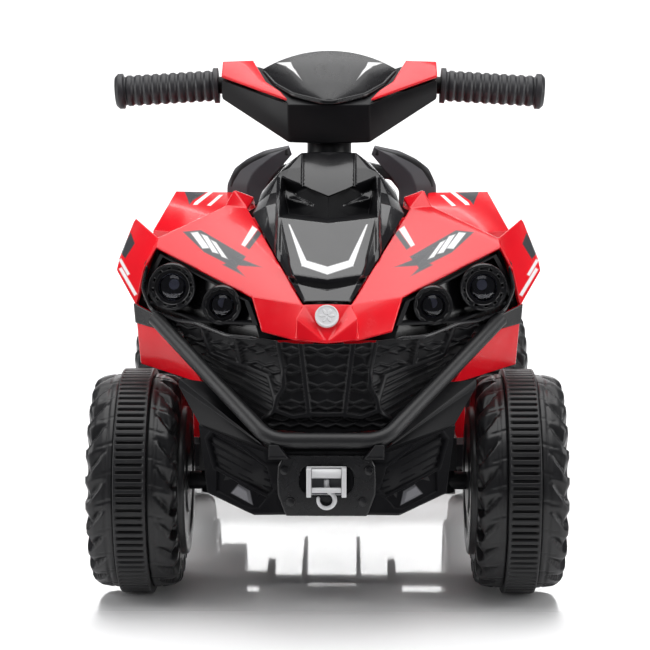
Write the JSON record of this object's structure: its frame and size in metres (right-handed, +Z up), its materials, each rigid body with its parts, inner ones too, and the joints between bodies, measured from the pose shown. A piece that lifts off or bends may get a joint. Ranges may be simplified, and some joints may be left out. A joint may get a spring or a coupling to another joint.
{
  "type": "ride-on toy quad bike",
  "caption": "Battery ride-on quad bike for a small child, with steered front wheels, a geared rear wheel, a handlebar console, a foot throttle and a toy winch.",
  "frame": {"origin": "on the floor, below the middle of the overall box", "axes": "+Z up, -Y forwards towards the bumper, +X to the rider's left"},
  "size_m": [0.417, 0.68, 0.48],
  "materials": {
    "red_body": "gloss",
    "black_gloss": "gloss",
    "black_satin": "satin",
    "tyre_plastic": "satin",
    "band_rubber": "matte",
    "grip_rubber": "matte",
    "cap_silver": "satin",
    "steel": "brushed",
    "silver_trim": "satin",
    "lens_clear": "clear",
    "led_white": "gloss",
    "button_red": "gloss",
    "gear_nylon": "satin",
    "battery_case": "satin",
    "seat_black": "satin"
  },
  "bodies": {
    "frame": {"front_carrier": "steel", "column_housing": "black_satin", "front_fairing": "red_body", "hood_cover": "black_gloss", "headlight_pods": "black_gloss", "headlight_lenses": "lens_clear", "headlight_leds": "led_white", "grille": "black_satin", "nose_badge": "silver_trim", "bumper_bar": "black_gloss", "bumper_guard": "black_satin", "front_bracket": "black_satin", "winch_plate": "black_gloss", "winch_plate_bolts": "silver_trim", "winch_fairlead": "silver_trim", "winch_rollers": "silver_trim", "winch_hook": "silver_trim", "chassis_tub": "black_satin", "battery": "battery_case", "rear_axle": "steel", "rear_axle_nuts": "steel", "gearbox_outer": "black_satin", "gearbox_inner": "black_satin", "motor": "steel", "body_side_panels": "red_body", "charge_socket": "black_gloss", "seat": "seat_black", "rear_fenders": "red_body", "backrest": "black_gloss"},
    "steering": {"steering_column": "steel", "steering_neck": "black_satin", "left_grip": "grip_rubber", "right_grip": "grip_rubber", "console_base": "black_satin", "console_cheeks": "red_body", "console_dome": "black_gloss", "dash_panel": "black_satin"},
    "left_knuckle": {"left_knuckle": "steel"},
    "right_knuckle": {"right_knuckle": "steel"},
    "tie_rod": {"tie_rod": "steel"},
    "front_left_wheel": {"front_left_tyre": "tyre_plastic", "front_left_traction_band": "band_rubber", "front_left_hubcap": "cap_silver"},
    "front_right_wheel": {"front_right_tyre": "tyre_plastic", "front_right_traction_band": "band_rubber", "front_right_hubcap": "cap_silver"},
    "rear_left_wheel": {"rear_left_tyre": "tyre_plastic", "rear_left_traction_band": "band_rubber", "rear_left_hubcap": "cap_silver"},
    "rear_right_wheel": {"rear_right_tyre": "tyre_plastic", "rear_right_traction_band": "band_rubber", "rear_right_hubcap": "cap_silver", "output_gear": "gear_nylon"},
    "compound_gear": {"compound_gear": "gear_nylon"},
    "motor_pinion": {"motor_pinion": "gear_nylon"},
    "throttle_pedal": {"throttle_pedal": "black_satin"},
    "horn_button": {"horn_button": "button_red"},
    "music_button": {"music_button": "button_red"},
    "power_switch": {"power_switch": "black_gloss"},
    "direction_switch": {"direction_switch": "black_gloss"}
  },
  "joints": [
    {"name": "steering_turn", "type": "hinge", "parent": "frame", "child": "steering", "pos_m": [0, -0.19, 0.085], "axis": [0, 0.3486, 0.9373], "range_deg": [-15, 15]},
    {"name": "left_king_pin", "type": "hinge", "parent": "frame", "child": "left_knuckle", "pos_m": [0.104, -0.19, 0.1], "axis": [0, 0, 1], "range_deg": [-14.07, 14.07]},
    {"name": "right_king_pin", "type": "hinge", "parent": "frame", "child": "right_knuckle", "pos_m": [-0.104, -0.19, 0.1], "axis": [0, 0, 1], "range_deg": [-14.07, 14.07]},
    {"name": "tie_rod_shift", "type": "slide", "parent": "frame", "child": "tie_rod", "axis": [1, 0, 0], "range_m": [-0.00786, 0.00786]},
    {"name": "front_left_spin", "type": "hinge", "parent": "left_knuckle", "child": "front_left_wheel", "pos_m": [0.1685, -0.19, 0.1], "axis": [1, 0, 0], "continuous": true},
    {"name": "front_right_spin", "type": "hinge", "parent": "right_knuckle", "child": "front_right_wheel", "pos_m": [-0.1685, -0.19, 0.1], "axis": [1, 0, 0], "continuous": true},
    {"name": "rear_left_spin", "type": "hinge", "parent": "frame", "child": "rear_left_wheel", "pos_m": [0.1685, 0.21, 0.1], "axis": [1, 0, 0], "continuous": true},
    {"name": "rear_right_spin", "type": "hinge", "parent": "frame", "child": "rear_right_wheel", "pos_m": [-0.1685, 0.21, 0.1], "axis": [1, 0, 0], "continuous": true},
    {"name": "compound_gear_spin", "type": "hinge", "parent": "frame", "child": "compound_gear", "pos_m": [-0.11, 0.17233, 0.11009], "axis": [1, 0, 0], "continuous": true},
    {"name": "motor_pinion_spin", "type": "hinge", "parent": "frame", "child": "motor_pinion", "pos_m": [-0.1, 0.1479, 0.11899], "axis": [1, 0, 0], "continuous": true},
    {"name": "throttle_press", "type": "hinge", "parent": "frame", "child": "throttle_pedal", "pos_m": [-0.112, 0.026, 0.118], "axis": [1, 0, 0], "range_deg": [0, 8], "stiffness_Nm_per_rad": 2, "springref_deg": -3.44},
    {"name": "horn_press", "type": "slide", "parent": "steering", "child": "horn_button", "axis": [0, -0.788, -0.6157], "range_m": [0, 0.002], "stiffness_N_per_m": 300, "springref_m": -0.001},
    {"name": "music_press", "type": "slide", "parent": "steering", "child": "music_button", "axis": [0, -0.788, -0.6157], "range_m": [0, 0.002], "stiffness_N_per_m": 300, "springref_m": -0.001},
    {"name": "power_rock", "type": "hinge", "parent": "steering", "child": "power_switch", "pos_m": [0.031, -0.02273, 0.44983], "axis": [1, 0, 0], "range_deg": [-8, 8]},
    {"name": "direction_rock", "type": "hinge", "parent": "steering", "child": "direction_switch", "pos_m": [-0.031, -0.02273, 0.44983], "axis": [1, 0, 0], "range_deg": [-8, 8]}
  ],
  "couplings": [
    {"joint": "left_king_pin", "follows": "steering_turn", "ratio": 0.9375},
    {"joint": "right_king_pin", "follows": "steering_turn", "ratio": 0.9375},
    {"joint": "tie_rod_shift", "follows": "steering_turn", "m_per_rad": -0.03},
    {"joint": "compound_gear_spin", "follows": "rear_right_spin", "ratio": -3.3333},
    {"joint": "motor_pinion_spin", "follows": "rear_right_spin", "ratio": 11.111}
  ]
}
